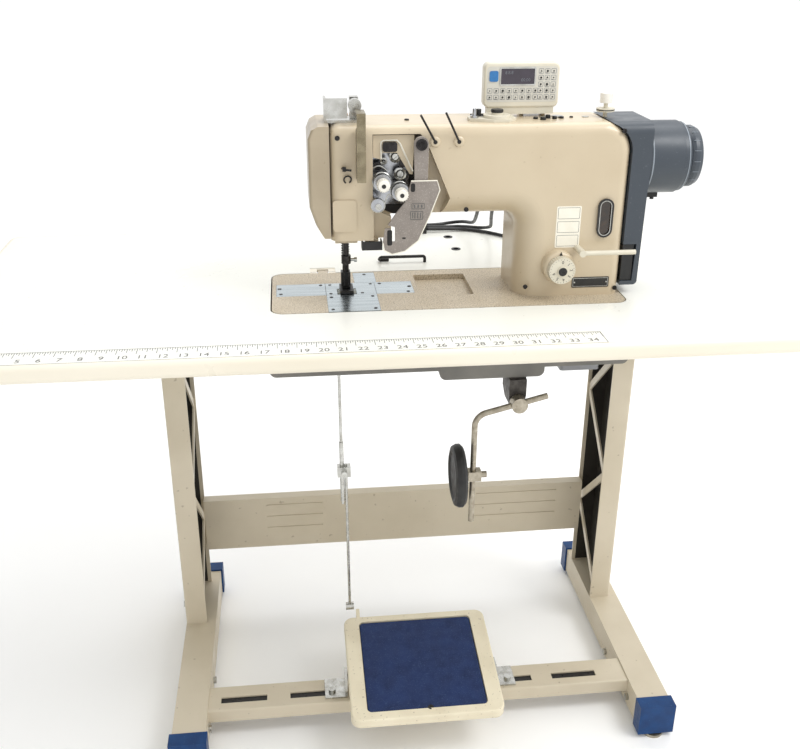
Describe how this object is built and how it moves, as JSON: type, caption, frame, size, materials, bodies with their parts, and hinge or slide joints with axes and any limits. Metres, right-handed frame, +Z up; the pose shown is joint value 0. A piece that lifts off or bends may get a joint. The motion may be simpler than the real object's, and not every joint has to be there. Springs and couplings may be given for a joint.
{
  "type": "industrial sewing machine",
  "caption": "Industrial twin-needle lockstitch sewing machine with direct-drive motor on a laminate table, steel stand, treadle and knee lifter.",
  "frame": {"origin": "on the floor under the middle of the table", "axes": "+Z up, +X to the operator's right towards the handwheel, +Y away from the operator"},
  "size_m": [1.2, 0.6, 1.0755],
  "materials": {
    "table_laminate": "satin melamine laminate",
    "edge_band": "smooth PVC edging",
    "stand_enamel": "warm beige powder coat",
    "cap_plastic": "moulded blue plastic",
    "glide_steel": "zinc plated",
    "zinc_plate": "bright zinc",
    "pan_steel": "grey painted sheet",
    "rough_casting": "as cast",
    "mat_rubber": "moulded navy rubber",
    "driver_case": "moulded grey case",
    "black_rubber": "moulded black rubber",
    "bright_steel": "ground and polished",
    "black_steel": "black oxide",
    "head_enamel": "cream enamel",
    "motor_plastic": "slate moulded plastic",
    "bush_bronze": "turned bronze",
    "belt_rubber": "toothed belt",
    "cream_plastic": "moulded cream plastic",
    "mauve_enamel": "mauve grey enamel",
    "black_plastic": "moulded black plastic"
  },
  "bodies": {
    "stand": {"table_top": "table_laminate", "table_edge_band": "edge_band", "wire_staple": "black_steel", "left_leg": "stand_enamel", "right_leg": "stand_enamel", "foot_bars": "stand_enamel", "foot_caps": "cap_plastic", "levelling_glides": "glide_steel", "rear_crossbeam": "stand_enamel", "treadle_bar": "stand_enamel", "treadle_brackets": "zinc_plate", "stand_bolts": "zinc_plate", "oil_pan": "pan_steel", "knee_bracket": "rough_casting", "control_box": "driver_case", "speed_unit": "driver_case", "hinge_cups": "black_rubber", "cable_gland": "black_rubber", "head_cables": "black_rubber"},
    "head": {"bed_casting": "head_enamel", "bed_plates": "bright_steel", "arm_casting": "head_enamel", "shaft_bushes": "bush_bronze", "face_plate": "head_enamel", "rear_cover": "head_enamel", "motor_cover": "motor_plastic", "motor_housing": "motor_plastic", "timing_belt": "belt_rubber", "front_guards": "head_enamel", "tension_unit": "bright_steel", "thread_pins": "bright_steel", "pretension_unit": "bright_steel", "oil_window": "black_plastic", "winder_base": "cream_plastic", "pivot_pins": "bright_steel"},
    "main_shaft": {"main_shaft": "bright_steel", "handwheel": "motor_plastic"},
    "lower_shaft": {"lower_shaft": "bright_steel"},
    "left_hook": {"left_hook": "bright_steel"},
    "right_hook": {"right_hook": "bright_steel"},
    "needle_bar": {"needle_bar": "bright_steel"},
    "presser_bar": {"presser_bar": "bright_steel", "presser_foot": "black_steel"},
    "take_up_lever": {"take_up_lever": "bright_steel"},
    "feed_dog": {"feed_dog": "bright_steel"},
    "left_tension_knob": {"left_tension_knob": "cream_plastic"},
    "right_tension_knob": {"right_tension_knob": "cream_plastic"},
    "changeover_lever": {"changeover_lever": "mauve_enamel"},
    "stitch_dial": {"stitch_dial": "cream_plastic"},
    "reverse_lever": {"reverse_lever": "cream_plastic"},
    "quick_reverse_button": {"quick_reverse_button": "black_plastic"},
    "winder_spindle": {"winder_spindle": "cream_plastic"},
    "winder_tension_knob": {"winder_tension_knob": "cream_plastic"},
    "control_panel": {"control_panel": "cream_plastic"},
    "treadle": {"treadle": "stand_enamel", "treadle_mat": "mat_rubber"},
    "pitman_rods": {"pitman_rods": "bright_steel"},
    "pedal_lever": {"pedal_lever": "bright_steel"},
    "knee_lifter": {"knee_rod": "bright_steel", "knee_pad": "black_rubber"}
  },
  "joints": [
    {"name": "head_tilt", "type": "hinge", "parent": "stand", "child": "head", "pos_m": [0, 0.044, 0.745], "axis": [-1, 0, 0], "range_deg": [0, 50], "deforming": ["head_cables"]},
    {"name": "main_shaft_turn", "type": "hinge", "parent": "head", "child": "main_shaft", "pos_m": [0.3, -0.054, 0.943], "axis": [1, 0, 0], "continuous": true},
    {"name": "lower_shaft_turn", "type": "hinge", "parent": "head", "child": "lower_shaft", "pos_m": [0.3, -0.024, 0.697], "axis": [1, 0, 0], "continuous": true},
    {"name": "left_hook_turn", "type": "hinge", "parent": "head", "child": "left_hook", "pos_m": [-0.054, -0.055, 0.725], "axis": [0, 0, 1], "continuous": true},
    {"name": "right_hook_turn", "type": "hinge", "parent": "head", "child": "right_hook", "pos_m": [-0.002, -0.055, 0.725], "axis": [0, 0, 1], "continuous": true},
    {"name": "needle_bar_travel", "type": "slide", "parent": "head", "child": "needle_bar", "axis": [0, 0, 1], "range_m": [-0.033, 0]},
    {"name": "presser_lift", "type": "slide", "parent": "head", "child": "presser_bar", "axis": [0, 0, 1], "range_m": [0, 0.012]},
    {"name": "take_up_swing", "type": "hinge", "parent": "head", "child": "take_up_lever", "pos_m": [-0.01, -0.072, 0.958], "axis": [1, 0, 0], "range_deg": [0, 55]},
    {"name": "feed_travel", "type": "slide", "parent": "head", "child": "feed_dog", "axis": [0, 1, 0], "range_m": [-0.0025, 0.0025]},
    {"name": "left_tension_turn", "type": "hinge", "parent": "head", "child": "left_tension_knob", "pos_m": [0.02, -0.132, 0.927], "axis": [0, -1, 0], "continuous": true},
    {"name": "right_tension_turn", "type": "hinge", "parent": "head", "child": "right_tension_knob", "pos_m": [0.045, -0.132, 0.914], "axis": [0, -1, 0], "continuous": true},
    {"name": "changeover_swing", "type": "hinge", "parent": "head", "child": "changeover_lever", "pos_m": [0.073, -0.119, 0.979], "axis": [0, -1, 0], "range_deg": [0, 6]},
    {"name": "stitch_dial_turn", "type": "hinge", "parent": "head", "child": "stitch_dial", "pos_m": [0.2775, -0.13, 0.798], "axis": [0, -1, 0], "range_deg": [-150, 150]},
    {"name": "reverse_lever_press", "type": "hinge", "parent": "head", "child": "reverse_lever", "pos_m": [0.306, -0.13, 0.823], "axis": [0, 1, 0], "range_deg": [0, 14], "stiffness_Nm_per_rad": 0.6, "springref_deg": -8.59},
    {"name": "quick_reverse_press", "type": "slide", "parent": "head", "child": "quick_reverse_button", "axis": [0, 1, 0], "range_m": [0, 0.003], "stiffness_N_per_m": 300, "springref_m": -0.001},
    {"name": "winder_spindle_turn", "type": "hinge", "parent": "head", "child": "winder_spindle", "pos_m": [0.154, -0.07, 1.005], "axis": [0, 0, 1], "continuous": true},
    {"name": "winder_tension_turn", "type": "hinge", "parent": "head", "child": "winder_tension_knob", "pos_m": [0.347, -0.054, 1.028], "axis": [0, 0, 1], "continuous": true},
    {"name": "panel_tilt", "type": "hinge", "parent": "head", "child": "control_panel", "pos_m": [0.252, -0.02, 1.012], "axis": [1, 0, 0], "range_deg": [-15, 8]},
    {"name": "treadle_tilt", "type": "hinge", "parent": "stand", "child": "treadle", "pos_m": [0.08, -0.138, 0.088], "axis": [1, 0, 0], "range_deg": [-9, 9], "stiffness_Nm_per_rad": 6},
    {"name": "pitman_travel", "type": "slide", "parent": "stand", "child": "pitman_rods", "axis": [-0.0086, 0, 1], "range_m": [-0.0205, 0.0205]},
    {"name": "pedal_lever_swing", "type": "hinge", "parent": "stand", "child": "pedal_lever", "pos_m": [-0.0405, 0.088, 0.66], "axis": [-1, 0, 0], "range_deg": [-13, 13]},
    {"name": "knee_lift", "type": "hinge", "parent": "stand", "child": "knee_lifter", "pos_m": [0.218, -0.166, 0.604], "axis": [0, -1, 0], "range_deg": [0, 22], "stiffness_Nm_per_rad": 1.5, "springref_deg": -5.73}
  ],
  "couplings": [
    {"joint": "lower_shaft_turn", "follows": "main_shaft_turn", "ratio": 1},
    {"joint": "left_hook_turn", "follows": "main_shaft_turn", "ratio": 2},
    {"joint": "right_hook_turn", "follows": "main_shaft_turn", "ratio": 2},
    {"joint": "pitman_travel", "follows": "treadle_tilt", "m_per_rad": 0.13},
    {"joint": "pedal_lever_swing", "follows": "treadle_tilt", "ratio": 1.3542},
    {"joint": "presser_lift", "follows": "knee_lift", "m_per_rad": 0.03}
  ]
}
